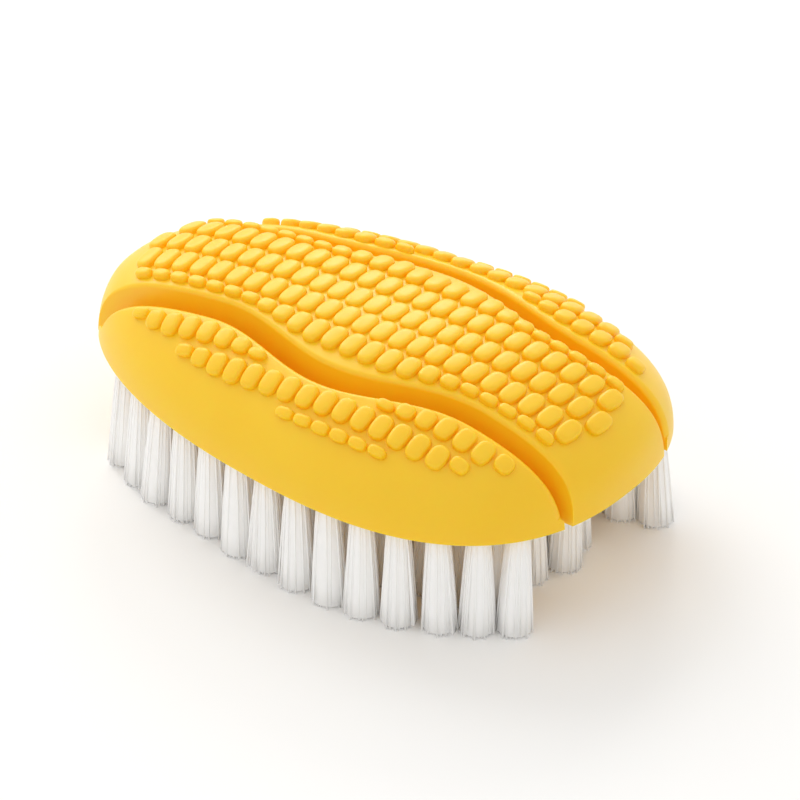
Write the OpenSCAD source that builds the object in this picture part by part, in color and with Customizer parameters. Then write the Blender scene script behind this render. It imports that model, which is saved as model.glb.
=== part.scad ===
// Flexible vegetable brush with a corn-cob back.
// The brush stands on its bristle tips at z = 0. Its length runs along X, and the
// middle of its outline is at the origin. The near wing is on the -Y side.
// The back is one moulding of soft plastic. Two deep wavy grooves leave only a thin
// web at its underside, so that the two wings fold down round a vegetable.

/* [Back] */
// Length of the back over its rim
body_l = 111; // [95:0.5:125]
// Width of the rim at the middle of the length
body_w = 71; // [64:0.5:80]
// Share by which the rim widens from the middle to the right end
egg_share = 0.21; // [0:0.01:0.3]
// Squareness of the rim, 2 for an ellipse
rim_power = 2.37; // [2:0.01:2.8]
// Height of the back from its rim to its crown, without the kernels
body_h = 18.2; // [15:0.1:22]
// Power of the crown line along the length, higher for a flatter one
ridge_power = 2.36; // [2:0.02:2.8]
// Power of the crown line towards both ends, higher for steeper ends
end_power = 3.37; // [2.6:0.05:4]
// Power of a section across the back, higher for a flatter top
arch_power = 2.46; // [2.1:0.02:2.8]
// Power of a section towards the rim, higher for steeper flanks
flank_power = 2.07; // [1.8:0.05:2.6]

/* [Grooves] */
// Width of the centre lobe near its ends, over its upper edges
centre_w = 25; // [22:0.1:27]
// How far each upper edge of the centre lobe bulges out
bulge = 5.4; // [3:0.1:6]
// Place of the middle of the bulge along X
bulge_x = 5.3; // [0:0.1:10]
// Length of the bulge
bulge_l = 56.5; // [46:0.5:62]
// Width of a groove between its upper edges
groove_top = 4.3; // [4:0.1:5]
// Width of a groove at its foot
groove_foot = 1.6; // [1.4:0.1:2]
// Size of the rounding along the upper edges of the grooves
edge_r = 0.9; // [0.5:0.1:1.2]
// Thickness of the web at the foot of a groove
web_t = 1.2; // [0.8:0.1:1.4]
// How far the web stops short of the rim at both ends
web_setback = 2.2; // [1.5:0.1:4]
// Room on each side of the web
web_clear = 0.3; // [0.25:0.05:0.4]

/* [Kernels] */
// Distance between kernels along X
kernel_pitch = 4; // [3.8:0.05:4.3]
// Distance between rows of kernels on the centre lobe
row_pitch = 6.25; // [6:0.05:6.6]
// Number of kernels in the middle row
middle_kernels = 25; // [19:2:25]
// Place of the middle kernel along X
kernel_x = 1.15; // [0:0.05:2]
// Space between neighbouring kernels
kernel_gap = 0.35; // [0.2:0.05:0.6]
// Height of a kernel over the back
kernel_h = 0.9; // [0.6:0.1:1.4]
// Plain border between the kernels of the centre lobe and the upper edge of a groove
kernel_border = 1.1; // [0.8:0.1:1.6]
// Plain border between the kernels of a wing and the upper edge of a groove
wing_border = 1.1; // [0.6:0.1:1.6]
// Narrowest kernel that is still made
kernel_min = 1.5; // [1.2:0.1:2]
// Share of the width of the rim that the kernels fill
kernel_field_w = 0.845; // [0.8:0.005:0.88]
// Share of the length of the rim that the kernels fill
kernel_field_l = 0.91; // [0.86:0.01:0.94]
// Place of the first row of kernels on a wing, from the middle line
wing_row_y = 20.15; // [19.5:0.05:21]
// Distance between rows of kernels on a wing
wing_row_pitch = 5.5; // [5.2:0.1:5.8]

/* [Bristles] */
// Height of the rim over the bristle tips
bristle_l = 20.5; // [15:0.5:26]
// Thickness of the underside layer that carries the bristles
backing_t = 1.6; // [1.5:0.1:2.4]
// Distance between tufts along a row
tuft_pitch = 7.2; // [6.8:0.1:8]
// Distance between rows of tufts under the centre lobe
tuft_row_pitch = 6.5; // [6:0.1:7]
// Distance of the tufts under the bulge from the middle line
bulge_row_y = 12.2; // [11.8:0.1:12.6]
// Length of the bulge that has tufts under it
bulge_row_l = 15; // [8:1:18]
// Distance of the outer tufts from the rim
rim_margin = 3.7; // [3.2:0.1:4.5]
// Distance of the last tufts under the centre lobe from its ends
end_margin = 9; // [8:0.5:12]
// Distance of the inner tufts of a wing from its foot edge
foot_margin = 3; // [2.6:0.1:3.4]
// Width of the underside band that carries the outer row of a wing
outer_band = 6.6; // [6.2:0.1:7]
// Width of a tuft where it leaves the back, over the middles of its strands
tuft_root = 1.8; // [1.6:0.1:2.2]
// Width of a tuft at its tips, over the middles of its strands
tuft_tip = 3; // [2.2:0.1:3.2]
// Strands in each tuft
strands = 4; // [4:1:5]
// Thickness of a strand over its corners
strand_d = 1.2; // [0.8:0.1:1.2]

/* [Anchors] */
// Length of an anchor clip, cut from flat wire
anchor_l = 3; // [2.4:0.1:3.4]
// Width of the flat wire
anchor_w = 1.6; // [1.2:0.1:2]
// Thickness of the flat wire
anchor_t = 0.35; // [0.3:0.05:0.6]
// Depth of the anchors over the underside of the back
anchor_depth = 4.5; // [3.5:0.1:5.5]

/* [Hidden] */

// Height of the rim
rim_z = bristle_l;
// Height of the underside of the lobes, over the layer that carries the bristles
lobe_z = rim_z + backing_t;
// Height of the crown without the kernels
crown_z = rim_z + body_h;
// How far cutting shapes stand out past the back
over = 3;
// Sections along the back
back_sections = 26;
// Points up one side of a section
section_points = 7;
// Share of the length at which the back closes up
close_share = 0.9998;
// Stations along the grooves and the rim
stations = 38;
// Samples along the rim from which the outer tufts are placed
row_samples = 120;
// Step over which slopes are taken
slope_step = 0.1;
// Step at which the ends of the webs are looked for
web_step = 0.25;
// Least height of a groove wall, where it runs out over the rim
least_rise = 0.5;
// Share of the half width at which a groove that leaves the rim takes its height
rim_share = 0.98;
// Middle of a groove's rounded edge, inwards, as a share of its rounding
edge_in = 0.3;
// Middle of a groove's rounded edge, upwards, as a share of its rounding
edge_up = 0.7;
// Sideways run of the cutting shape over a groove's edge, as a share of its rounding
edge_lean = 1.2;
// Height of a kernel's shoulder, as a share of its height
shoulder_share = 0.9;
// Length of a kernel's flat top, as a share of its length
top_len_share = 0.5;
// Width of a kernel's flat top, as a share of its width
top_width_share = 0.6;
// Cut corner of a kernel, as a share of its smaller side
corner_share = 0.3;
// How far the strands of a tuft are turned either way
tuft_turn = 20;
// How fast that turn changes along a row
turn_step = 137;

// Half width of the rim at x
function half_w(x) = body_w / 2 * (1 + egg_share * 2 * x / body_l);
function rim_y(x) = half_w(x) * pow(max(0, 1 - pow(abs(2 * x / body_l), rim_power)), 1 / rim_power);

// Height of the crown line over the rim at x
function crown_h(x) = body_h * pow(max(0, 1 - pow(abs(2 * x / body_l), ridge_power)), 1 / end_power);

// Height of the smooth back over a point
function back_z(x, y) = rim_z
    + crown_h(x) * pow(max(0, 1 - pow(abs(y) / max(rim_y(x), over), arch_power)), 1 / flank_power);

// Outer limit of the kernels at x
function field_y(x) = kernel_field_w * half_w(x)
    * pow(max(0, 1 - pow(abs(2 * x / (kernel_field_l * body_l)), rim_power)), 1 / rim_power);

// Upper edges of a groove, as distances from the middle line
function swell(x) = let (t = 2 * (x - bulge_x) / bulge_l) abs(t) < 1 ? (1 + cos(180 * t)) / 2 : 0;
function centre_y(x) = centre_w / 2 + bulge * swell(x);
function wing_y(x) = centre_y(x) + groove_top;
function foot_y(x) = centre_y(x) + (groove_top - groove_foot) / 2;
function wing_foot_y(x) = foot_y(x) + groove_foot;

// Slope of a groove wall, as sideways run for each millimetre of rise
wall_run = (groove_top - groove_foot) / 2 / (body_h - backing_t);

// The smooth back of all three lobes, swept along X through sections that close up
// towards both ends
module back() {
    swept([for (i = [0:back_sections])
        back_section(-close_share * body_l / 2 * cos(180 * i / back_sections))]);
}

// Section of the back at x, an arch from its -Y rim over the top to its +Y rim
function back_section(x) = let (
    half = [for (k = [0:section_points]) let (share = sin(90 * k / section_points))
        [rim_y(x) * pow(1 - pow(share, flank_power), 1 / arch_power), rim_z + share * crown_h(x)]])
    concat([for (p = half) [x, -p[0], p[1]]],
        [for (k = [section_points - 1:-1:0]) [x, half[k][0], half[k][1]]]);

// Two triangles for a face with four corners, seen clockwise from outside
function quad(a, b, c, d) = [[a, c, b], [a, d, c]];

// A solid swept along X through closed sections of equal point counts, clockwise as
// seen from its +X end
module swept(sections) {
    n = len(sections[0]);
    m = len(sections);
    points = [for (s = sections) for (p = s) p];
    faces = concat(
        [for (i = [0:m - 2]) for (k = [0:n - 1]) for (f = quad(
            i * n + (k + 1) % n, i * n + k, (i + 1) * n + k, (i + 1) * n + (k + 1) % n)) f],
        [[for (k = [n - 1:-1:0]) k]],
        [[for (k = [0:n - 1]) (m - 1) * n + k]]);
    polyhedron(points = points, faces = faces, convexity = 6);
}

function station_x(i, from, to) = from + (to - from) * i / stations;

// One groove wall at x, from its foot up to the open air, as [distance from the middle
// line, height]. way is 1 for the wall of the centre lobe and -1 for that of a wing.
function wall(x, way) = let (
    foot = way > 0 ? foot_y(x) : wing_foot_y(x),
    edge = way > 0 ? centre_y(x) : wing_y(x),
    z = back_z(x, min(edge, rim_y(x) * rim_share)),
    rise = max(least_rise, z - edge_r - lobe_z))
    [[foot, rim_z - over], [foot, lobe_z],
     [foot - way * wall_run * rise, lobe_z + rise],
     [foot - way * (wall_run * rise + edge_r * edge_in), lobe_z + rise + edge_r * edge_up],
     [foot - way * (wall_run * rise + edge_r), lobe_z + rise + edge_r],
     [foot - way * (wall_run * rise + edge_r * edge_lean), crown_z + over]];

// The space that the centre lobe fills between its two groove walls
module centre_space() {
    swept([for (i = [0:stations]) let (x = station_x(i, -body_l / 2 - over, body_l / 2 + over),
        w = wall(x, 1), n = len(w))
        concat([for (p = w) [x, -p[0], p[1]]], [for (k = [n - 1:-1:0]) [x, w[k][0], w[k][1]]])]);
}

// The space outside a groove, on the far side
module wing_space() {
    swept([for (i = [0:stations]) let (x = station_x(i, -body_l / 2 - over, body_l / 2 + over),
        w = wall(x, -1), n = len(w))
        concat([for (p = w) [x, p[0], p[1]]],
            [[x, body_w, crown_z + over], [x, body_w, rim_z - over]])]);
}

// Everything above the underside layer that carries the bristles
module above_backing() {
    translate([-body_l, -body_w, lobe_z]) cube([2 * body_l, 2 * body_w, body_h + over]);
}

// A kernel is a pad that slopes in to a flat top, set square to the back under it
module kernel(x, y, len_x, len_y) {
    d = slope_step;
    slope_x = (back_z(x + d, y) - back_z(x - d, y)) / (2 * d);
    slope_y = (back_z(x, y + d) - back_z(x, y - d)) / (2 * d);
    translate([x, y, back_z(x, y)]) rotate([atan(slope_y), -atan(slope_x), 0]) hull() {
        translate([0, 0, -kernel_h]) linear_extrude(shoulder_share * kernel_h) pad(len_x, len_y);
        translate([0, 0, -kernel_h]) linear_extrude(2 * kernel_h)
            square([len_x * top_len_share, len_y * top_width_share], center = true);
    }
}

// Outline of a kernel, a rectangle with cut corners
module pad(len_x, len_y) {
    c = min(len_x, len_y) * corner_share;
    a = len_x / 2;
    b = len_y / 2;
    polygon([[a, b - c], [a - c, b], [c - a, b], [-a, b - c],
        [-a, c - b], [c - a, -b], [a - c, -b], [a, c - b]]);
}

// One site of the kernel pattern between two limits of y, left out where it is too narrow
module kernel_between(x, low, high) {
    if (high - low > kernel_min)
        kernel(x, (low + high) / 2, kernel_pitch - kernel_gap, high - low);
}

module centre_kernels() {
    for (row = [-2:2], k = [0:middle_kernels - 1 - abs(row)]) {
        x = kernel_x + kernel_pitch * (k - (middle_kernels - 1 - abs(row)) / 2);
        room = centre_y(x) - kernel_border;
        half = (row_pitch - kernel_gap) / 2;
        kernel_between(x, max(row * row_pitch - half, -room), min(row * row_pitch + half, room));
    }
}

// Kernels of the far wing in three rows, with every other row moved half a pitch
module wing_kernels() {
    reach_n = (middle_kernels - 1) / 2;
    for (row = [0:2], k = [-reach_n:reach_n]) {
        x = kernel_x + kernel_pitch * (k + (row % 2 == 0 ? 0.5 : 0));
        y = wing_row_y + row * wing_row_pitch;
        half = (wing_row_pitch - kernel_gap) / 2;
        kernel_between(x, max(y - half, wing_y(x) + wing_border), min(y + half, field_y(x)));
    }
}

module centre_lobe() {
    color("gold") union() {
        intersection() {
            back();
            centre_space();
            above_backing();
        }
        centre_kernels();
    }
}

module wing() {
    color("gold") union() {
        intersection() {
            back();
            wing_space();
            above_backing();
        }
        wing_kernels();
    }
}

// Outline of the rim
module rim() {
    xs = [for (i = [0:stations]) -body_l / 2 * cos(180 * i / stations)];
    polygon(concat([for (x = xs) [x, -rim_y(x)]],
        [for (i = [stations - 1:-1:1]) [xs[i], rim_y(xs[i])]]));
}

// Everything between the line y = base and a curve, over the whole length
module below(curve, base) {
    end = body_l / 2 + over;
    polygon(concat([[-end, base]],
        [for (i = [0:stations]) let (x = station_x(i, -end, end)) [x, curve(x)]],
        [[end, base]]));
}

// Underside layer of the part of the rim's outline that the children cover
module backing() {
    translate([0, 0, rim_z]) linear_extrude(backing_t) intersection() {
        rim();
        children();
    }
}

// The web of soft plastic that joins two lobes under a groove, with room on the side of
// the wing
module hinge_web() {
    ends = [for (x = [-body_l / 2:web_step:body_l / 2]) if (rim_y(x) > wing_foot_y(x)) x];
    from = ends[0] + web_setback;
    to = ends[len(ends) - 1] - web_setback;
    color("orange") translate([0, 0, rim_z]) linear_extrude(web_t) intersection() {
        difference() {
            below(function(x) wing_foot_y(x) - web_clear, -over);
            below(function(x) foot_y(x), -over);
        }
        translate([from, 0]) square([to - from, body_w]);
    }
}

// Places along a curve, tuft_pitch apart, as many as fit and centred on its length
function runs(c) = [for (i = 0, s = 0; i < len(c);
    s = s + (i < len(c) - 1 ? norm(c[i + 1] - c[i]) : 0), i = i + 1) s];
function spaced(c) = let (
    s = runs(c),
    length = s[len(s) - 1],
    count = floor(length / tuft_pitch) + 1,
    first = (length - (count - 1) * tuft_pitch) / 2,
    to_x = [for (i = [0:len(c) - 1]) [s[i], c[i][0]]],
    to_y = [for (i = [0:len(c) - 1]) [s[i], c[i][1]]])
    [for (k = [0:count - 1]) let (d = first + k * tuft_pitch) [lookup(d, to_x), lookup(d, to_y)]];

// A point at a distance inside the rim, square to it from the rim's point at x
function rim_slope(x) = (rim_y(x + slope_step) - rim_y(x - slope_step)) / (2 * slope_step);
function inside_rim(x, margin) = let (slope = rim_slope(x), n = norm([slope, 1]))
    [x + margin * slope / n, rim_y(x) - margin / n];

// Rows of tufts under the far wing. The outer row keeps its distance from the rim and
// the inner row from the groove.
wing_xs = [for (i = [1:row_samples - 1]) -body_l / 2 * cos(180 * i / row_samples)];
outer_tufts = spaced([for (x = wing_xs) let (p = inside_rim(x, rim_margin))
    if (p[1] > wing_foot_y(p[0]) + tuft_tip / 2) p]);
inner_tufts = spaced([for (x = wing_xs) let (y = wing_foot_y(x) + foot_margin)
    if (rim_y(x) - y > (outer_band + tuft_tip / 2) * norm([rim_slope(x), 1])) [x, y]]);

// What lies further inside the rim of a wing than its outer band
module inside_outer_band() {
    end = body_l / 2 - outer_band;
    polygon(concat([[-end, -over]], [for (x = wing_xs) inside_rim(x, outer_band)], [[end, -over]]));
}

// Straight rows of tufts under the centre lobe, with those beside the middle row moved
// half a pitch
function straight(y, from, to, shift) = let (
    count = floor((to - from) / tuft_pitch + shift))
    [for (k = [0:count]) [(from + to) / 2 + (k - count / 2) * tuft_pitch, y]];
row_end = body_l / 2 - end_margin;
middle_tufts = straight(0, -row_end, row_end, 0);
side_tufts = straight(tuft_row_pitch, -row_end, row_end, -1);
bulge_tufts = straight(bulge_row_y, bulge_x - bulge_row_l / 2, bulge_x + bulge_row_l / 2, 0);

// Strands of a row of tufts. Each spreads from its root in the backing to the floor,
// where it is cut flat.
module tuft_strands(tufts) {
    for (t = [0:len(tufts) - 1], k = [0:strands - 1]) {
        a = 360 * (k + 0.5) / strands + tuft_turn * sin(turn_step * t);
        out = [cos(a), sin(a)];
        strand(tufts[t] + tuft_root / 2 * out, tufts[t] + tuft_tip / 2 * out, a);
    }
}

module strand(root, tip, turn) {
    corners = [for (c = [0:2]) strand_d / 2 * [cos(turn + 120 * c), sin(turn + 120 * c)]];
    polyhedron(
        points = concat([for (c = corners) [tip[0] + c[0], tip[1] + c[1], 0]],
            [for (c = corners) [root[0] + c[0], root[1] + c[1], rim_z + backing_t / 2]]),
        faces = [[0, 1, 2], [5, 4, 3], [0, 4, 1], [0, 3, 4], [1, 5, 2], [1, 4, 5], [2, 3, 0], [2, 5, 3]]);
}

// A row of tufts with the layer of the underside that holds it
module bristles(tufts) {
    color("white") union() {
        backing() children();
        tuft_strands(tufts);
    }
}

module centre_bristles_middle() {
    bristles(middle_tufts) square([2 * body_l, tuft_row_pitch], center = true);
}

// Rows of the far half. The near half mirrors them.
module side_bristles() {
    bristles(side_tufts) translate([-body_l, tuft_row_pitch / 2]) square([2 * body_l, tuft_row_pitch]);
}

module bulge_bristles() {
    bristles(bulge_tufts) below(function(x) foot_y(x), tuft_row_pitch * 1.5);
}

module inner_bristles() {
    bristles(inner_tufts) difference() {
        inside_outer_band();
        below(function(x) wing_foot_y(x), -over);
    }
}

module outer_bristles() {
    bristles(outer_tufts) difference() {
        translate([-body_l, 0]) square([2 * body_l, body_w]);
        below(function(x) wing_foot_y(x), -over);
        inside_outer_band();
    }
}

// Clips of flat wire, each of which holds a folded tuft down in its hole
module anchors(tufts) {
    color("silver") for (t = tufts)
        translate([t[0], t[1], rim_z + anchor_depth]) cube([anchor_l, anchor_t, anchor_w], center = true);
}

module near_half() {
    mirror([0, 1, 0]) children();
}

centre_lobe();
near_half() wing();  // near_wing
wing();  // far_wing
near_half() hinge_web();  // near_hinge_web
hinge_web();  // far_hinge_web
centre_bristles_middle();
near_half() side_bristles();  // centre_bristles_near
side_bristles();  // centre_bristles_far
near_half() bulge_bristles();  // bulge_bristles_near
bulge_bristles();  // bulge_bristles_far
near_half() inner_bristles();  // near_bristles_inner
near_half() outer_bristles();  // near_bristles_outer
inner_bristles();  // far_bristles_inner
outer_bristles();  // far_bristles_outer
anchors(middle_tufts);  // centre_anchors_middle
near_half() anchors(side_tufts);  // centre_anchors_near
anchors(side_tufts);  // centre_anchors_far
near_half() anchors(bulge_tufts);  // bulge_anchors_near
anchors(bulge_tufts);  // bulge_anchors_far
near_half() anchors(inner_tufts);  // near_anchors_inner
near_half() anchors(outer_tufts);  // near_anchors_outer
anchors(inner_tufts);  // far_anchors_inner
anchors(outer_tufts);  // far_anchors_outer
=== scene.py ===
import math

import bmesh
import bpy
import numpy as np
from mathutils import Matrix, Vector


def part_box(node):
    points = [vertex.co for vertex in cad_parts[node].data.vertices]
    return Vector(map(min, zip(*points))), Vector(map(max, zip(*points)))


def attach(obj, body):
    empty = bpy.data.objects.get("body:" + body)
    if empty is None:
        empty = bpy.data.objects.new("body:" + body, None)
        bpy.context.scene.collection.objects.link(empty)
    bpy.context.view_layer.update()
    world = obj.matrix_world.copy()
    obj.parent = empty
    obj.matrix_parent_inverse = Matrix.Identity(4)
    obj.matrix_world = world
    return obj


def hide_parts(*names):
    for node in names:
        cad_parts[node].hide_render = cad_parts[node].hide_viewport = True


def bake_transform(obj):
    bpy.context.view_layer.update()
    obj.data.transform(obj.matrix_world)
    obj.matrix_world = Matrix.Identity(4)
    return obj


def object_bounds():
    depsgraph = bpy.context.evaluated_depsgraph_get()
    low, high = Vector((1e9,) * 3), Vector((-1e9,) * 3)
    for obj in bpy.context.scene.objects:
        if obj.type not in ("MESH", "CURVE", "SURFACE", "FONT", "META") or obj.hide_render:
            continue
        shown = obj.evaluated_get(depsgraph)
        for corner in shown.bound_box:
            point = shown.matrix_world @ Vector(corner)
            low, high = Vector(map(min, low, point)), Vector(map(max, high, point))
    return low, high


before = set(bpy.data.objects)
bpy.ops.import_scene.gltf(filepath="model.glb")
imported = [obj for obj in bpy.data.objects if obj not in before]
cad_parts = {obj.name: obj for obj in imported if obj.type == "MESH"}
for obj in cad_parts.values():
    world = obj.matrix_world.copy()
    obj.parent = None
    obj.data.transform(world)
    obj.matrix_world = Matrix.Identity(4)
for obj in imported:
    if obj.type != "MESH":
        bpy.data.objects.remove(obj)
cad_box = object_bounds()
MM = 0.001


# Camera. A long lens looks down on the near side of the brush and its wider end.
# The picture is square, and the brush stands a little left of and below its middle.
CAMERA_AZIMUTH = math.radians(36.33)
CAMERA_ELEVATION = math.radians(33.2)
CAMERA_ROLL = math.radians(0.37)
CAMERA_DISTANCE = 1413.4 * MM
LENS_MM = 360
SENSOR_MM = 36
FRAME_PX = 800
AIM = Vector((1.15, -0.58, 38.82)) * MM
AIM_PX = (375.3, 306.3)

towards = Vector((math.sin(CAMERA_AZIMUTH) * math.cos(CAMERA_ELEVATION),
                  -math.cos(CAMERA_AZIMUTH) * math.cos(CAMERA_ELEVATION),
                  math.sin(CAMERA_ELEVATION)))
level = Vector((math.cos(CAMERA_AZIMUTH), math.sin(CAMERA_AZIMUTH), 0))
upright = towards.cross(level)
right = level * math.cos(CAMERA_ROLL) + upright * math.sin(CAMERA_ROLL)
up = upright * math.cos(CAMERA_ROLL) - level * math.sin(CAMERA_ROLL)
metres_per_px = CAMERA_DISTANCE * SENSOR_MM / LENS_MM / FRAME_PX
camera_data = bpy.data.cameras.new("camera")
camera_data.lens = LENS_MM
camera_data.sensor_width = SENSOR_MM
camera_data.clip_end = 20
camera = bpy.data.objects.new("camera", camera_data)
bpy.context.collection.objects.link(camera)
camera.matrix_world = Matrix((right, up, towards)).transposed().to_4x4()
camera.location = (AIM + towards * CAMERA_DISTANCE
                   - right * (AIM_PX[0] - FRAME_PX / 2) * metres_per_px
                   + up * (AIM_PX[1] - FRAME_PX / 2) * metres_per_px)
bpy.context.scene.camera = camera


# Light. A wide soft box stands on the left and a small one behind, which gives the kernels
# their pale edges. The room gives the rest of the light, and the camera and reflections see
# it as plain white.
LAMP_AIM = Vector((0, 0, 0.02))
LAMP_COLOUR = (1.0, 0.985, 0.96)


def soft_box(name, place, size, watts):
    data = bpy.data.lights.new(name, "AREA")
    data.shape = "DISK"
    data.size = size
    data.energy = watts
    data.color = LAMP_COLOUR
    lamp = bpy.data.objects.new(name, data)
    lamp.location = place
    lamp.rotation_euler = (LAMP_AIM - Vector(place)).to_track_quat("-Z", "Y").to_euler()
    bpy.context.collection.objects.link(lamp)


soft_box("left_box", place=(-0.95, 0.42, 0.75), size=0.8, watts=4.8)
soft_box("back_box", place=(-0.62, 0.92, 0.66), size=0.34, watts=2.0)

ROOM_LIGHT = 0.78
LEFT_LIGHT = 0.22
LEFT_WAY = (-0.75, 0.25, 0.61)
FADE_START = -0.6
ROOM_COLOUR = (1, 0.995, 0.985, 1)
SEEN_COLOUR = (0.965, 0.965, 0.96, 1)
world = bpy.data.worlds.new("room")
bpy.context.scene.world = world
world.use_nodes = True
nodes, links = world.node_tree.nodes, world.node_tree.links
room = nodes["Background"]
room.inputs["Color"].default_value = ROOM_COLOUR
way_out = nodes.new("ShaderNodeTexCoord")
slope = nodes.new("ShaderNodeVectorMath")
slope.operation = "DOT_PRODUCT"
slope.inputs[1].default_value = LEFT_WAY
links.new(way_out.outputs["Generated"], slope.inputs[0])
fade = nodes.new("ShaderNodeMapRange")
fade.interpolation_type = "SMOOTHSTEP"
fade.inputs["From Min"].default_value = FADE_START
fade.inputs["From Max"].default_value = 1
fade.inputs["To Min"].default_value = ROOM_LIGHT
fade.inputs["To Max"].default_value = ROOM_LIGHT + LEFT_LIGHT
links.new(slope.outputs["Value"], fade.inputs["Value"])
links.new(fade.outputs[0], room.inputs["Strength"])
seen = nodes.new("ShaderNodeBackground")
seen.inputs["Color"].default_value = SEEN_COLOUR
seen.inputs["Strength"].default_value = 1
path = nodes.new("ShaderNodeLightPath")
mirrored = nodes.new("ShaderNodeMath")
links.new(path.outputs["Is Glossy Ray"], mirrored.inputs[0])
links.new(path.outputs["Is Transmission Ray"], mirrored.inputs[1])
plain = nodes.new("ShaderNodeMath")
plain.use_clamp = True
links.new(path.outputs["Is Camera Ray"], plain.inputs[0])
links.new(mirrored.outputs[0], plain.inputs[1])
pick = nodes.new("ShaderNodeMixShader")
links.new(plain.outputs[0], pick.inputs[0])
links.new(room.outputs[0], pick.inputs[1])
links.new(seen.outputs[0], pick.inputs[2])
links.new(pick.outputs[0], nodes["World Output"].inputs["Surface"])

# Light needs many bounces to come out again from between the white tufts.
bpy.context.scene.cycles.max_bounces = 24
bpy.context.scene.cycles.diffuse_bounces = 16


# Table. One wide sheet of matt white board, just under the bristle tips.
FLOOR_SIZE = 12
floor_mesh = bpy.data.meshes.new("floor")
half = FLOOR_SIZE / 2
floor_mesh.from_pydata([(-half, -half, 0), (half, -half, 0), (half, half, 0), (-half, half, 0)],
                       [], [(0, 1, 2, 3)])
floor = bpy.data.objects.new("floor", floor_mesh)
bpy.context.collection.objects.link(floor)
board = bpy.data.materials.new("white_board")
board.use_nodes = True
board_shader = board.node_tree.nodes["Principled BSDF"]
board_shader.inputs["Roughness"].default_value = 0.9
board_shader.inputs["Specular IOR Level"].default_value = 0.1
board_shader.inputs["Base Color"].default_value = (0.935, 0.933, 0.928, 1)
floor_mesh.materials.append(board)


# Moulded back. One moulding of soft yellow plastic, domed and egg-shaped in plan, is cut
# by two wavy grooves into a centre lobe and two wings. It is swept here through fine
# sections, and the grooves leave rounded upper edges and walls that lean apart.
BODY_L = 111 * MM
BODY_W = 71 * MM
EGG_SHARE = 0.21
RIM_POWER = 2.37
BODY_H = 18.2 * MM
RIDGE_POWER = 2.36
END_POWER = 3.37
ARCH_POWER = 2.46
FLANK_POWER = 2.07
CENTRE_W = 25 * MM
BULGE = 5.4 * MM
BULGE_X = 5.3 * MM
BULGE_L = 56.5 * MM
GROOVE_TOP = 4.3 * MM
GROOVE_FOOT = 1.6 * MM
EDGE_R = 1.0 * MM
LEAST_RISE = 0.5 * MM
BRIM_SHARE = 0.98
LAST_TURN = math.radians(126)
WALL_FLARE = 0.05 * MM
OVER = 3 * MM
BACKING_H = 1.6 * MM
RIM_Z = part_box("centre_bristles_middle")[1][2] - BACKING_H
SPACE_TOP = RIM_Z + BODY_H + 2 * OVER
SLOPE_STEP = 0.1 * MM
WALL_RUN = (GROOVE_TOP - GROOVE_FOOT) / 2 / BODY_H
SHARP_ANGLE = math.radians(38)
BACK_SECTIONS = 180
SECTION_POINTS = 40
END_SHARE = 0.99995
SPACE_SECTIONS = 260
EDGE_POINTS = 8
EDGE_TRIES = 4


def half_w(x):
    return BODY_W / 2 * (1 + EGG_SHARE * 2 * x / BODY_L)


def rim_y(x):
    return half_w(x) * np.maximum(0, 1 - np.abs(2 * x / BODY_L) ** RIM_POWER) ** (1 / RIM_POWER)


def crown_h(x):
    return BODY_H * np.maximum(0, 1 - np.abs(2 * x / BODY_L) ** RIDGE_POWER) ** (1 / END_POWER)


def back_z(x, y):
    share = np.abs(y) / np.maximum(rim_y(x), OVER)
    return RIM_Z + crown_h(x) * np.maximum(0, 1 - share ** ARCH_POWER) ** (1 / FLANK_POWER)


def swell(x):
    t = np.clip(2 * (x - BULGE_X) / BULGE_L, -1, 1)
    return (1 + np.cos(np.pi * t)) / 2


def centre_y(x):
    return CENTRE_W / 2 + BULGE * swell(x)


def wing_y(x):
    return centre_y(x) + GROOVE_TOP


def foot_y(x):
    return centre_y(x) + (GROOVE_TOP - GROOVE_FOOT) / 2


def wing_foot_y(x):
    return foot_y(x) + GROOVE_FOOT


def new_object(name, mesh):
    made = bpy.data.objects.new(name, mesh)
    bpy.context.collection.objects.link(made)
    return made


def swept(name, sections):
    """A closed solid through sections of equal point counts that run along X."""
    m, n = len(sections), len(sections[0])
    points = np.concatenate(sections)
    faces = [(i * n + (k + 1) % n, i * n + k, (i + 1) * n + k, (i + 1) * n + (k + 1) % n)
             for i in range(m - 1) for k in range(n)]
    faces += [tuple(range(n - 1, -1, -1)), tuple((m - 1) * n + k for k in range(n))]
    mesh = bpy.data.meshes.new(name)
    mesh.from_pydata(points.tolist(), [], faces)
    work = bmesh.new()
    work.from_mesh(mesh)
    bmesh.ops.triangulate(work, faces=work.faces[:])
    bmesh.ops.recalc_face_normals(work, faces=work.faces[:])
    work.to_mesh(mesh)
    work.free()
    return new_object(name, mesh)


def combined(name, base, tool, how):
    """What is left of base after a solid operation with tool. Both are used up."""
    step = base.modifiers.new("solid", "BOOLEAN")
    step.object = tool
    step.operation = how
    step.solver = "MANIFOLD"
    graph = bpy.context.evaluated_depsgraph_get()
    mesh = bpy.data.meshes.new_from_object(base.evaluated_get(graph))
    mesh.name = name
    bpy.data.objects.remove(base)
    bpy.data.objects.remove(tool)
    return new_object(name, mesh)


def back_section(x):
    share = np.sin(np.linspace(0, np.pi / 2, SECTION_POINTS))
    y = rim_y(x) * (1 - share ** FLANK_POWER) ** (1 / ARCH_POWER)
    z = RIM_Z + share * crown_h(x)
    near = np.stack([np.full(SECTION_POINTS, x), -y, z], 1)
    far = np.stack([np.full(SECTION_POINTS - 1, x), y[-2::-1], z[-2::-1]], 1)
    return np.concatenate([near, far])


def whole_back():
    turns = np.linspace(0, np.pi, BACK_SECTIONS)
    return swept("back", [back_section(-BODY_L / 2 * math.cos(a) * END_SHARE) for a in turns])


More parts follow.
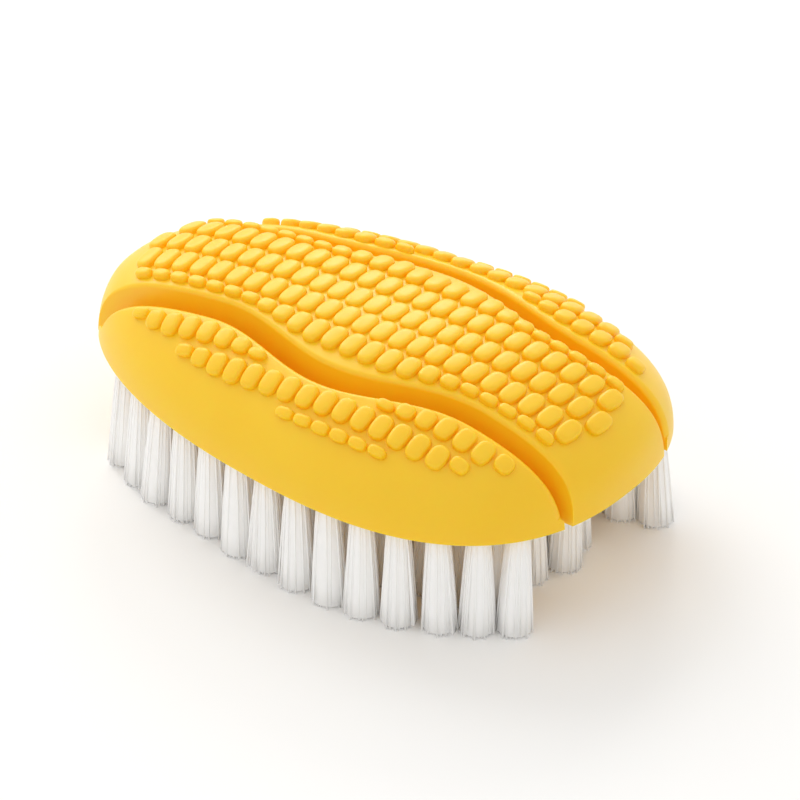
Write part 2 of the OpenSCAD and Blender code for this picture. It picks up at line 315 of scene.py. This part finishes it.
def wall(x, way):
    """One groove wall from its foot to the open air. way is 1 for the centre lobe. Its
    rounded edge ends at the slope that the dome has there, so that no step is left."""
    foot = foot_y(x) if way > 0 else wing_foot_y(x)
    edge = centre_y(x) if way > 0 else wing_y(x)
    brim = rim_y(x) * BRIM_SHARE
    end = min(edge, brim)
    climb = (back_z(x, end - way * SLOPE_STEP) - back_z(x, end)) / SLOPE_STEP
    last = min(math.atan2(1, climb), LAST_TURN)
    for _ in range(EDGE_TRIES):
        rise = max(LEAST_RISE, back_z(x, min(end, brim)) - EDGE_R * math.sin(last) - RIM_Z)
        start = foot - way * WALL_RUN * rise
        end = start - way * EDGE_R * (1 - math.cos(last))
    rows = [(foot, RIM_Z - OVER), (foot, RIM_Z)]
    rows += [(start - way * EDGE_R * (1 - math.cos(a)), RIM_Z + rise + EDGE_R * math.sin(a))
             for a in np.linspace(0, last, EDGE_POINTS)]
    rows += [(end - way * WALL_FLARE, SPACE_TOP)]
    return np.array(rows)


def along():
    return np.linspace(-BODY_L / 2 - OVER, BODY_L / 2 + OVER, SPACE_SECTIONS)


def centre_space():
    sections = []
    for x in along():
        w = wall(x, 1)
        y, z = np.concatenate([-w[:, 0], w[::-1, 0]]), np.concatenate([w[:, 1], w[::-1, 1]])
        sections.append(np.stack([np.full(len(y), x), y, z], 1))
    return swept("centre_space", sections)


def wing_space(side):
    sections = []
    for x in along():
        w = np.concatenate([wall(x, -1), [(BODY_W, SPACE_TOP), (BODY_W, RIM_Z - OVER)]])
        sections.append(np.stack([np.full(len(w), x), side * w[:, 0], w[:, 1]], 1))
    return swept("wing_space", sections)


# Kernels. They are part of the same moulding: close-set pads with round shoulders, in rows
# that are moved half a pitch from one to the next. Those that a groove or the plain skirt
# cuts off are shorter, and the plain border is left round them.
KERNEL_PITCH = 4 * MM
ROW_PITCH = 6.25 * MM
KERNEL_X = 1.15 * MM
KERNEL_GAP = 0.34 * MM
KERNEL_H = 1.25 * MM
TOP_Z = cad_box[1][2] - 0.1 * MM
KERNEL_BORDER = 1.1 * MM
KERNEL_MIN = 1.65 * MM
BEAD_L = 2.1 * MM
KERNEL_FIELD_W = 0.845
KERNEL_FIELD_L = 0.91
CENTRE_ROWS = range(-2, 3)
MIDDLE_KERNELS = 25
WING_ROWS = range(3)
WING_COLUMNS = range(-12, 13)
WING_ROW_Y = 20.15 * MM
WING_ROW_PITCH = 5.5 * MM
PAD_SIDES = 28
PAD_CROWN = 1.005
PAD_CORNER_POWER = 2.7


def field_y(x):
    inside = np.maximum(0, 1 - np.abs(2 * x / (KERNEL_FIELD_L * BODY_L)) ** RIM_POWER)
    return KERNEL_FIELD_W * half_w(x) * inside ** (1 / RIM_POWER)


def kernel_site(x, low, high):
    if high - low < KERNEL_MIN:
        return None
    return (x, (low + high) / 2, KERNEL_PITCH - KERNEL_GAP, max(high - low, BEAD_L))


def centre_sites():
    sites = []
    for row in CENTRE_ROWS:
        count = MIDDLE_KERNELS - abs(row)
        half_len = (ROW_PITCH - KERNEL_GAP) / 2
        for k in range(count):
            x = KERNEL_X + KERNEL_PITCH * (k - (count - 1) / 2)
            room_y = centre_y(x) - KERNEL_BORDER
            sites.append(kernel_site(x, max(row * ROW_PITCH - half_len, -room_y),
                                     min(row * ROW_PITCH + half_len, room_y)))
    return [s for s in sites if s]


def wing_sites(side):
    sites = []
    for row in WING_ROWS:
        y = WING_ROW_Y + row * WING_ROW_PITCH
        half_len = (WING_ROW_PITCH - KERNEL_GAP) / 2
        for k in WING_COLUMNS:
            x = KERNEL_X + KERNEL_PITCH * (k + (0.5 if row % 2 == 0 else 0))
            sites.append(kernel_site(x, max(y - half_len, wing_y(x) + KERNEL_BORDER),
                                     min(y + half_len, field_y(x))))
    return [(s[0], side * s[1], s[2], s[3]) for s in sites if s]


def pad_mesh():
    """A unit kernel: half-sizes and height of 1, with its foot sunk below the surface."""
    profile = [(1.0, -0.8), (1.0, 0.28), (0.985, 0.48), (0.945, 0.66), (0.87, 0.81), (0.75, 0.915),
               (0.57, 0.975), (0.3, 1.0)]
    around = np.linspace(0, 2 * np.pi, PAD_SIDES + 1)[:-1]
    share = 2 / PAD_CORNER_POWER
    ring = np.stack([np.sign(np.cos(around)) * np.abs(np.cos(around)) ** share,
                     np.sign(np.sin(around)) * np.abs(np.sin(around)) ** share], 1)
    points = [(p[0] * s, p[1] * s, z) for s, z in profile for p in ring] + [(0, 0, PAD_CROWN)]
    n = len(ring)
    top = n * len(profile)
    faces = [(i * n + k, i * n + (k + 1) % n, (i + 1) * n + (k + 1) % n, (i + 1) * n + k)
             for i in range(len(profile) - 1) for k in range(n)]
    faces += [(top - n + k, top - n + (k + 1) % n, top) for k in range(n)]
    faces += [tuple(range(n - 1, -1, -1))]
    mesh = bpy.data.meshes.new("pad")
    mesh.from_pydata(points, [], faces)
    return mesh


def group_input(tree, name, kind, value=None):
    socket = tree.interface.new_socket(name, in_out="INPUT", socket_type=kind)
    if value is not None:
        socket.default_value = value


def set_inputs(modifier, values):
    for item in modifier.node_group.interface.items_tree:
        if item.item_type == "SOCKET" and item.in_out == "INPUT" and item.name in values:
            modifier[item.identifier] = values[item.name]


def attribute_node(tree, name, kind):
    node = tree.nodes.new("GeometryNodeInputNamedAttribute")
    node.data_type = kind
    node.inputs["Name"].default_value = name
    return node.outputs["Attribute"]


def kernel_tree():
    """Puts a copy of the pad on each place, turned and sized as the place says."""
    tree = bpy.data.node_groups.new("kernels", "GeometryNodeTree")
    group_input(tree, "Geometry", "NodeSocketGeometry")
    group_input(tree, "Pad", "NodeSocketObject")
    group_input(tree, "Height", "NodeSocketFloat", KERNEL_H)
    group_input(tree, "Material", "NodeSocketMaterial")
    tree.interface.new_socket("Geometry", in_out="OUTPUT", socket_type="NodeSocketGeometry")
    nodes, link = tree.nodes, tree.links.new
    start = nodes.new("NodeGroupInput")
    info = nodes.new("GeometryNodeObjectInfo")
    link(start.outputs["Pad"], info.inputs["Object"])
    copies = nodes.new("GeometryNodeInstanceOnPoints")
    link(start.outputs["Geometry"], copies.inputs["Points"])
    link(info.outputs["Geometry"], copies.inputs["Instance"])
    link(attribute_node(tree, "turn", "FLOAT_VECTOR"), copies.inputs["Rotation"])
    size = nodes.new("ShaderNodeSeparateXYZ")
    link(attribute_node(tree, "size", "FLOAT_VECTOR"), size.inputs[0])
    scale = nodes.new("ShaderNodeCombineXYZ")
    link(size.outputs["X"], scale.inputs["X"])
    link(size.outputs["Y"], scale.inputs["Y"])
    low = nodes.new("ShaderNodeMath")
    low.operation = "MULTIPLY"
    link(size.outputs["Z"], low.inputs[0])
    link(start.outputs["Height"], low.inputs[1])
    link(low.outputs[0], scale.inputs["Z"])
    link(scale.outputs[0], copies.inputs["Scale"])
    real = nodes.new("GeometryNodeRealizeInstances")
    link(copies.outputs[0], real.inputs[0])
    coat = nodes.new("GeometryNodeSetMaterial")
    link(real.outputs[0], coat.inputs["Geometry"])
    link(start.outputs["Material"], coat.inputs["Material"])
    end = nodes.new("NodeGroupOutput")
    link(coat.outputs[0], end.inputs[0])
    return tree


def grown(name, points, attributes, tree, values):
    """Plain mesh that a node tree grows on points with vector attributes."""
    mesh = bpy.data.meshes.new(name + "_places")
    mesh.from_pydata(np.asarray(points).tolist(), [], [])
    for key, rows in attributes.items():
        layer = mesh.attributes.new(key, "FLOAT_VECTOR", "POINT")
        layer.data.foreach_set("vector", np.asarray(rows, dtype=float).ravel())
    places = new_object(name + "_places", mesh)
    step = places.modifiers.new("grow", "NODES")
    step.node_group = tree
    set_inputs(step, values)
    bpy.context.view_layer.update()
    graph = bpy.context.evaluated_depsgraph_get()
    made = bpy.data.meshes.new_from_object(places.evaluated_get(graph))
    made.name = name
    bpy.data.objects.remove(places)
    return new_object(name, made)


def kernels_on(name, sites, material):
    points, turns, sizes = [], [], []
    for x, y, len_x, len_y in sites:
        slope_x = (back_z(x + SLOPE_STEP, y) - back_z(x - SLOPE_STEP, y)) / (2 * SLOPE_STEP)
        slope_y = (back_z(x, y + SLOPE_STEP) - back_z(x, y - SLOPE_STEP)) / (2 * SLOPE_STEP)
        points.append((x, y, back_z(x, y)))
        turns.append((math.atan(slope_y), -math.atan(slope_x), 0))
        sizes.append((len_x / 2, len_y / 2, min(1, (TOP_Z - back_z(x, y)) / KERNEL_H)))
    return grown(name, points, {"turn": turns, "size": sizes}, kernel_shape,
                 {"Pad": pad, "Height": KERNEL_H, "Material": material})


def shaded(name, colour):
    material = bpy.data.materials.new(name)
    material.use_nodes = True
    shader = material.node_tree.nodes["Principled BSDF"]
    shader.inputs["Base Color"].default_value = (*colour, 1)
    return material, shader


def bump_from(material, shader, scale, distance):
    """Fine surface grain from noise on object coordinates."""
    nodes, link = material.node_tree.nodes, material.node_tree.links.new
    place = nodes.new("ShaderNodeTexCoord")
    noise = nodes.new("ShaderNodeTexNoise")
    noise.inputs["Scale"].default_value = scale
    noise.inputs["Detail"].default_value = 3
    bump = nodes.new("ShaderNodeBump")
    bump.inputs["Strength"].default_value = 1
    bump.inputs["Distance"].default_value = distance
    link(place.outputs["Object"], noise.inputs["Vector"])
    link(noise.outputs["Fac"], bump.inputs["Height"])
    link(bump.outputs["Normal"], shader.inputs["Normal"])
    return place


def mottled(material, shader, place, colour_a, colour_b, scale):
    """Slow drift between two colours over the surface."""
    nodes, link = material.node_tree.nodes, material.node_tree.links.new
    noise = nodes.new("ShaderNodeTexNoise")
    noise.inputs["Scale"].default_value = scale
    noise.inputs["Detail"].default_value = 2
    ramp = nodes.new("ShaderNodeValToRGB")
    ramp.color_ramp.elements[0].position = 0.35
    ramp.color_ramp.elements[0].color = (*colour_a, 1)
    ramp.color_ramp.elements[1].position = 0.65
    ramp.color_ramp.elements[1].color = (*colour_b, 1)
    link(place.outputs["Object"], noise.inputs["Vector"])
    link(noise.outputs["Fac"], ramp.inputs[0])
    link(ramp.outputs[0], shader.inputs["Base Color"])


yellow, yellow_shader = shaded("yellow_soft_plastic", (0.98, 0.59, 0.012))
yellow_place = bump_from(yellow, yellow_shader, 2400, 0.02 * MM)
mottled(yellow, yellow_shader, yellow_place, (0.975, 0.58, 0.01), (0.985, 0.60, 0.015), 45)
yellow_shader.inputs["Roughness"].default_value = 0.36
yellow_shader.inputs["IOR"].default_value = 1.5
yellow_shader.inputs["Specular IOR Level"].default_value = 0.42
yellow_shader.inputs["Subsurface Weight"].default_value = 0.6
yellow_shader.inputs["Subsurface Radius"].default_value = (1.0, 0.55, 0.08)
yellow_shader.inputs["Subsurface Scale"].default_value = 1.4 * MM

pad = new_object("pad", pad_mesh())
kernel_shape = kernel_tree()


# Tuft holes. Blind round holes in the flat underside, one for each tuft. Their places are
# read from the anchor clips that sit in them.
HOLE_R = 1.9 * MM
HOLE_DEPTH = 3.0 * MM
HOLE_SIDES = 20
CLIP_REACH = 2.2 * MM


def clip_places(*names):
    """Middles of the anchor clips in some nodes, from the corners that lie together."""
    places = []
    for name in names:
        own = []
        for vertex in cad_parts[name].data.vertices:
            for group in own:
                if (group[0] - vertex.co).length < 2 * CLIP_REACH:
                    group.append(vertex.co)
                    break
            else:
                own.append([vertex.co])
        places += [sum(group, Vector()) / len(group) for group in own]
    return places


def holes_at(name, places):
    work = bmesh.new()
    for place in places:
        made = bmesh.ops.create_cone(work, cap_ends=True, segments=HOLE_SIDES, radius1=HOLE_R,
                                     radius2=HOLE_R, depth=2 * HOLE_DEPTH)
        bmesh.ops.translate(work, verts=made["verts"], vec=(place.x, place.y, RIM_Z))
    mesh = bpy.data.meshes.new(name)
    work.to_mesh(mesh)
    work.free()
    return new_object(name, mesh)


def lobe(name, space, sites, places, body, node):
    base = combined(name, whole_back(), space, "INTERSECT")
    base = combined(name, base, kernels_on(name + "_kernels", sites, yellow), "UNION")
    base = combined(name, base, holes_at(name + "_holes", places), "DIFFERENCE")
    base.data.materials.clear()
    base.data.materials.append(yellow)
    base.data.shade_smooth()
    base.data.set_sharp_from_angle(angle=SHARP_ANGLE)
    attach(base, body)
    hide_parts(node)


NEAR, FAR = -1, 1
centre_clips = ("centre_anchors_middle", "centre_anchors_near", "centre_anchors_far",
                "bulge_anchors_near", "bulge_anchors_far")
near_clips = ("near_anchors_inner", "near_anchors_outer")
far_clips = ("far_anchors_inner", "far_anchors_outer")
centre_places = clip_places(*centre_clips)
near_places = clip_places(*near_clips)
far_places = clip_places(*far_clips)
lobe("centre_back", centre_space(), centre_sites(), centre_places, "centre", "centre_lobe")
lobe("near_back", wing_space(NEAR), wing_sites(NEAR), near_places, "near_side", "near_wing")
lobe("far_back", wing_space(FAR), wing_sites(FAR), far_places, "far_side", "far_wing")
bpy.data.objects.remove(pad)


# Hinge webs. The same plastic, left 1.2 mm thick under each groove. Each web stops a little
# short of the rim at both ends.
WEB_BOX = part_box("far_hinge_web")
WEB_SINK = 0.5 * MM
HINGE_Y = 16.5 * MM
WEB_SECTIONS = 120
WEB_POINTS = 5
WEB_SHARP_ANGLE = math.radians(40)


def hinge_web(name, side, node):
    sections = []
    for x in np.linspace(WEB_BOX[0][0], WEB_BOX[1][0], WEB_SECTIONS):
        low, high = foot_y(x) - WEB_SINK, wing_foot_y(x) + WEB_SINK
        ys = np.linspace(low, high, WEB_POINTS)
        y = np.concatenate([ys, ys[::-1]]) * side
        z = np.repeat([WEB_BOX[0][2], WEB_BOX[1][2]], WEB_POINTS)
        sections.append(np.stack([np.full(len(y), x), y, z], 1))
    web = swept(name, sections)
    web.data.materials.append(yellow)
    web.data.shade_smooth()
    web.data.set_sharp_from_angle(angle=WEB_SHARP_ANGLE)
    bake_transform(web)
    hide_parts(node)


hinge_web("near_web", NEAR, "near_hinge_web")
hinge_web("far_web", FAR, "far_hinge_web")


# Anchor clips. Short lengths of flat brass wire that hold each folded tuft down in its
# hole. They are the CAD pieces as they are, with a drawn-wire finish.
brass, brass_shader = shaded("flat_brass_wire", (0.78, 0.6, 0.28))
brass_shader.inputs["Metallic"].default_value = 1
brass_shader.inputs["Roughness"].default_value = 0.35
bump_from(brass, brass_shader, 4000, 0.01 * MM)
for clip_node in centre_clips + near_clips + far_clips:
    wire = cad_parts[clip_node]
    wire.data.materials.clear()
    wire.data.materials.append(brass)


# Bristle tufts. Each is a bundle of straight white nylon filaments that leaves its hole
# tight, spreads a little on its way down and is trimmed level, with a few stray ends. In the
# middle of a tuft they lie so close that one white core stands for them, down to near the tips.
FILAMENTS = 72
FILAMENT_D = 0.36 * MM
TUFT_ROOT_R = 1.7 * MM
TUFT_SPREAD = 1.6 * MM
TUFT_LEAN = 0.5 * MM
FALL_POWER = 0.8
FILL_POWER = 0.38
STRAY = 1.1 * MM
STRAY_POWER = 2.0
STRAY_SEED = 3
HINGE_REACH = 7 * MM
HINGE_LEAN = 1.1 * MM
TRIM_LOSS = 1.2 * MM
LOSS_POWER = 3.0
ROOT_SINK = 2.4 * MM
CORE_SHARE = 0.94
CORE_END = 0.6 * MM
CORE_TIP_SHARE = 0.7
CORE_TIP_FALL = 0.015
LEAN_LIMIT = 1.6 * TUFT_LEAN
LEAN_KEPT = 0.3
FILAMENT_LEVELS = 4
FILAMENT_SIDES = 6
CORE_LEVELS = 6
CORE_SIDES = 14


def filament_mesh():
    """A filament of unit length that hangs down from the origin."""
    levels = np.linspace(0, -1, FILAMENT_LEVELS)
    n = FILAMENT_SIDES
    sides = [(math.cos(a), math.sin(a)) for a in np.linspace(0, 2 * np.pi, n + 1)[:-1]]
    points = [(x / 2, y / 2, z) for z in levels for x, y in sides]
    faces = [(i * n + k, (i + 1) * n + k, (i + 1) * n + (k + 1) % n, i * n + (k + 1) % n)
             for i in range(len(levels) - 1) for k in range(n)]
    faces += [tuple(range(n)), tuple(range(len(points) - 1, len(points) - n - 1, -1))]
    mesh = bpy.data.meshes.new("filament")
    mesh.from_pydata(points, [], faces)
    return mesh


def core_mesh():
    """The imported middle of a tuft, of unit root width, which flares as the tuft does."""
    n = CORE_SIDES
    falls = np.append(np.linspace(0, 1, CORE_LEVELS), 1) * (1 - CORE_END / (RIM_Z + ROOT_SINK))
    flare = [1 + TUFT_SPREAD / TUFT_ROOT_R * fall ** FALL_POWER for fall in falls]
    flare[-1] *= CORE_TIP_SHARE
    falls[-1] += CORE_TIP_FALL
    points = [(math.cos(a) / 2 * r, math.sin(a) / 2 * r, -fall) for fall, r in zip(falls, flare)
              for a in np.linspace(0, 2 * np.pi, n + 1)[:-1]]
    faces = [(i * n + k, (i + 1) * n + k, (i + 1) * n + (k + 1) % n, i * n + (k + 1) % n)
             for i in range(len(falls) - 1) for k in range(n)]
    faces += [tuple(range(n)), tuple(range(len(points) - 1, len(points) - n - 1, -1))]
    mesh = bpy.data.meshes.new("core")
    mesh.from_pydata(points, [], faces)
    return mesh


def random_vector(tree, low, high, seed):
    node = tree.nodes.new("FunctionNodeRandomValue")
    node.data_type = "FLOAT_VECTOR"
    node.inputs["Min"].default_value = low
    node.inputs["Max"].default_value = high
    node.inputs["Seed"].default_value = seed
    return node


def maths(tree, how, a, b):
    node = tree.nodes.new("ShaderNodeMath")
    node.operation = how
    for socket, value in zip(node.inputs, (a, b)):
        if isinstance(value, (int, float)):
            socket.default_value = value
        else:
            tree.links.new(value, socket)
    return node.outputs[0]


def vector_maths(tree, how, a, b):
    node = tree.nodes.new("ShaderNodeVectorMath")
    node.operation = how
    tree.links.new(a, node.inputs[0])
    target = node.inputs["Scale"] if how == "SCALE" else node.inputs[1]
    if isinstance(b, (int, float)):
        target.default_value = b
    else:
        tree.links.new(b, target)
    return node.outputs[0]


def tuft_tree():
    """Copies a filament round each tuft, then leans the copies outwards as they fall."""
    tree = bpy.data.node_groups.new("tufts", "GeometryNodeTree")
    group_input(tree, "Geometry", "NodeSocketGeometry")
    group_input(tree, "Filament", "NodeSocketObject")
    group_input(tree, "Filaments", "NodeSocketInt", FILAMENTS)
    group_input(tree, "Thickness", "NodeSocketFloat", FILAMENT_D)
    group_input(tree, "Length", "NodeSocketFloat", RIM_Z)
    group_input(tree, "Root Radius", "NodeSocketFloat", TUFT_ROOT_R)
    group_input(tree, "Spread", "NodeSocketFloat", TUFT_SPREAD)
    group_input(tree, "Stray", "NodeSocketFloat", STRAY)
    group_input(tree, "Trim Loss", "NodeSocketFloat", TRIM_LOSS)
    group_input(tree, "Material", "NodeSocketMaterial")
    tree.interface.new_socket("Geometry", in_out="OUTPUT", socket_type="NodeSocketGeometry")
    nodes, link = tree.nodes, tree.links.new
    start = nodes.new("NodeGroupInput")

    bundle = nodes.new("GeometryNodeDuplicateElements")
    bundle.domain = "POINT"
    link(start.outputs["Geometry"], bundle.inputs["Geometry"])
    link(start.outputs["Filaments"], bundle.inputs["Amount"])

    copy_share = maths(tree, "DIVIDE", bundle.outputs["Duplicate Index"],
                       start.outputs["Filaments"])
    turn = maths(tree, "MULTIPLY", bundle.outputs["Duplicate Index"], math.pi * (3 - math.sqrt(5)))
    ring = maths(tree, "POWER", copy_share, FILL_POWER)
    out = nodes.new("ShaderNodeCombineXYZ")
    link(maths(tree, "MULTIPLY", ring, maths(tree, "COSINE", turn, 0)), out.inputs["X"])
    link(maths(tree, "MULTIPLY", ring, maths(tree, "SINE", turn, 0)), out.inputs["Y"])
    jitter = random_vector(tree, (-1, -1, 0), (1, 1, 1), STRAY_SEED)
    keep_out = nodes.new("GeometryNodeStoreNamedAttribute")
    keep_out.data_type = "FLOAT_VECTOR"
    keep_out.inputs["Name"].default_value = "out"
    link(bundle.outputs["Geometry"], keep_out.inputs["Geometry"])
    link(out.outputs[0], keep_out.inputs["Value"])
    keep_stray = nodes.new("GeometryNodeStoreNamedAttribute")
    keep_stray.data_type = "FLOAT_VECTOR"
    keep_stray.inputs["Name"].default_value = "stray"
    link(keep_out.outputs[0], keep_stray.inputs["Geometry"])
    link(jitter.outputs["Value"], keep_stray.inputs["Value"])

    placed = nodes.new("GeometryNodeSetPosition")
    link(keep_stray.outputs[0], placed.inputs["Geometry"])
    link(vector_maths(tree, "SCALE", attribute_node(tree, "out", "FLOAT_VECTOR"),
                      start.outputs["Root Radius"]), placed.inputs["Offset"])

    info = nodes.new("GeometryNodeObjectInfo")
    link(start.outputs["Filament"], info.inputs["Object"])
    copies = nodes.new("GeometryNodeInstanceOnPoints")
    link(placed.outputs[0], copies.inputs["Points"])
    link(info.outputs["Geometry"], copies.inputs["Instance"])
    stray_parts = nodes.new("ShaderNodeSeparateXYZ")
    link(attribute_node(tree, "stray", "FLOAT_VECTOR"), stray_parts.inputs[0])
    loss = maths(tree, "MULTIPLY", maths(tree, "POWER", stray_parts.outputs["Z"], LOSS_POWER),
                 start.outputs["Trim Loss"])
    scale = nodes.new("ShaderNodeCombineXYZ")
    link(start.outputs["Thickness"], scale.inputs["X"])
    link(start.outputs["Thickness"], scale.inputs["Y"])
    link(maths(tree, "SUBTRACT", start.outputs["Length"], loss), scale.inputs["Z"])
    link(scale.outputs[0], copies.inputs["Scale"])
    real = nodes.new("GeometryNodeRealizeInstances")
    link(copies.outputs[0], real.inputs[0])

    place = nodes.new("GeometryNodeInputPosition")
    height = nodes.new("ShaderNodeSeparateXYZ")
    link(place.outputs[0], height.inputs[0])
    fall = maths(tree, "SUBTRACT", start.outputs["Length"], height.outputs["Z"])
    fall = maths(tree, "DIVIDE", fall, start.outputs["Length"])
    fall = maths(tree, "POWER", maths(tree, "MAXIMUM", fall, 0.0), FALL_POWER)
    lean = vector_maths(tree, "SCALE", attribute_node(tree, "out", "FLOAT_VECTOR"),
                        start.outputs["Spread"])
    lean = vector_maths(tree, "ADD", lean, attribute_node(tree, "tilt", "FLOAT_VECTOR"))
    stray_way = attribute_node(tree, "stray", "FLOAT_VECTOR")
    stray_size = nodes.new("ShaderNodeSeparateXYZ")
    link(stray_way, stray_size.inputs[0])
    drift = vector_maths(tree, "SCALE", stray_way,
                         maths(tree, "MULTIPLY", start.outputs["Stray"],
                               maths(tree, "POWER", stray_size.outputs["Z"], STRAY_POWER)))
    flat = nodes.new("ShaderNodeVectorMath")
    flat.operation = "MULTIPLY"
    link(drift, flat.inputs[0])
    flat.inputs[1].default_value = (1, 1, 0)
    lean = vector_maths(tree, "ADD", lean, flat.outputs[0])
    spread = nodes.new("GeometryNodeSetPosition")
    link(real.outputs[0], spread.inputs["Geometry"])
    link(vector_maths(tree, "SCALE", lean, fall), spread.inputs["Offset"])
    coat = nodes.new("GeometryNodeSetMaterial")
    link(spread.outputs[0], coat.inputs["Geometry"])
    link(start.outputs["Material"], coat.inputs["Material"])
    end = nodes.new("NodeGroupOutput")
    link(coat.outputs[0], end.inputs[0])
    return tree


nylon, nylon_shader = shaded("white_nylon", (0.98, 0.975, 0.965))
nylon_shader.inputs["Roughness"].default_value = 0.4
nylon_shader.inputs["IOR"].default_value = 1.45
nylon_place = bump_from(nylon, nylon_shader, 3000, 0.005 * MM)
mottled(nylon, nylon_shader, nylon_place, (0.982, 0.98, 0.972), (0.993, 0.99, 0.985), 400)

filament = new_object("filament", filament_mesh())
core = new_object("core", core_mesh())
tuft_shape = tuft_tree()


def tufts(name, places, body, *bristle_nodes):
    chance = np.random.default_rng(len(places))
    roots = [(p.x, p.y, RIM_Z + ROOT_SINK) for p in places]
    tilts = np.zeros((len(roots), 3))
    tilts[:, :2] = np.clip(chance.normal(0, TUFT_LEAN, (len(roots), 2)), -LEAN_LIMIT, LEAN_LIMIT)
    for root, tilt in zip(roots, tilts):
        past_hinge = abs(root[1]) - HINGE_Y
        if abs(past_hinge) < HINGE_REACH:
            away = math.copysign(1, root[1] * past_hinge)
            tilt[1] = (LEAN_KEPT * abs(tilt[1]) + HINGE_LEAN) * away
    sizes = {"Length": RIM_Z + ROOT_SINK, "Material": nylon}
    fine = grown(name, roots, {"tilt": tilts}, tuft_shape,
                 {**sizes, "Filament": filament, "Filaments": FILAMENTS, "Thickness": FILAMENT_D,
                  "Root Radius": TUFT_ROOT_R, "Spread": TUFT_SPREAD, "Stray": STRAY,
                  "Trim Loss": TRIM_LOSS})
    packed = grown(name + "_cores", roots, {"tilt": tilts}, tuft_shape,
                   {**sizes, "Filament": core, "Filaments": 1,
                    "Thickness": 2 * TUFT_ROOT_R * CORE_SHARE, "Root Radius": 0.0, "Spread": 0.0,
                    "Stray": 0.0, "Trim Loss": 0.0})
    both = bmesh.new()
    both.from_mesh(fine.data)
    both.from_mesh(packed.data)
    both.to_mesh(fine.data)
    both.free()
    bpy.data.objects.remove(packed)
    corners = np.empty(3 * len(fine.data.vertices))
    fine.data.vertices.foreach_get("co", corners)
    corners = np.clip(corners.reshape(-1, 3), cad_box[0], cad_box[1])
    fine.data.vertices.foreach_set("co", corners.ravel())
    fine.data.shade_smooth()
    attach(fine, body)
    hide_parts(*bristle_nodes)


tufts("centre_tufts", centre_places, "centre", "centre_bristles_middle", "centre_bristles_near",
      "centre_bristles_far", "bulge_bristles_near", "bulge_bristles_far")
tufts("near_tufts", near_places, "near_side", "near_bristles_inner", "near_bristles_outer")
tufts("far_tufts", far_places, "far_side", "far_bristles_inner", "far_bristles_outer")
bpy.data.objects.remove(filament)
bpy.data.objects.remove(core)

bpy.context.scene.view_settings.view_transform = "Standard"
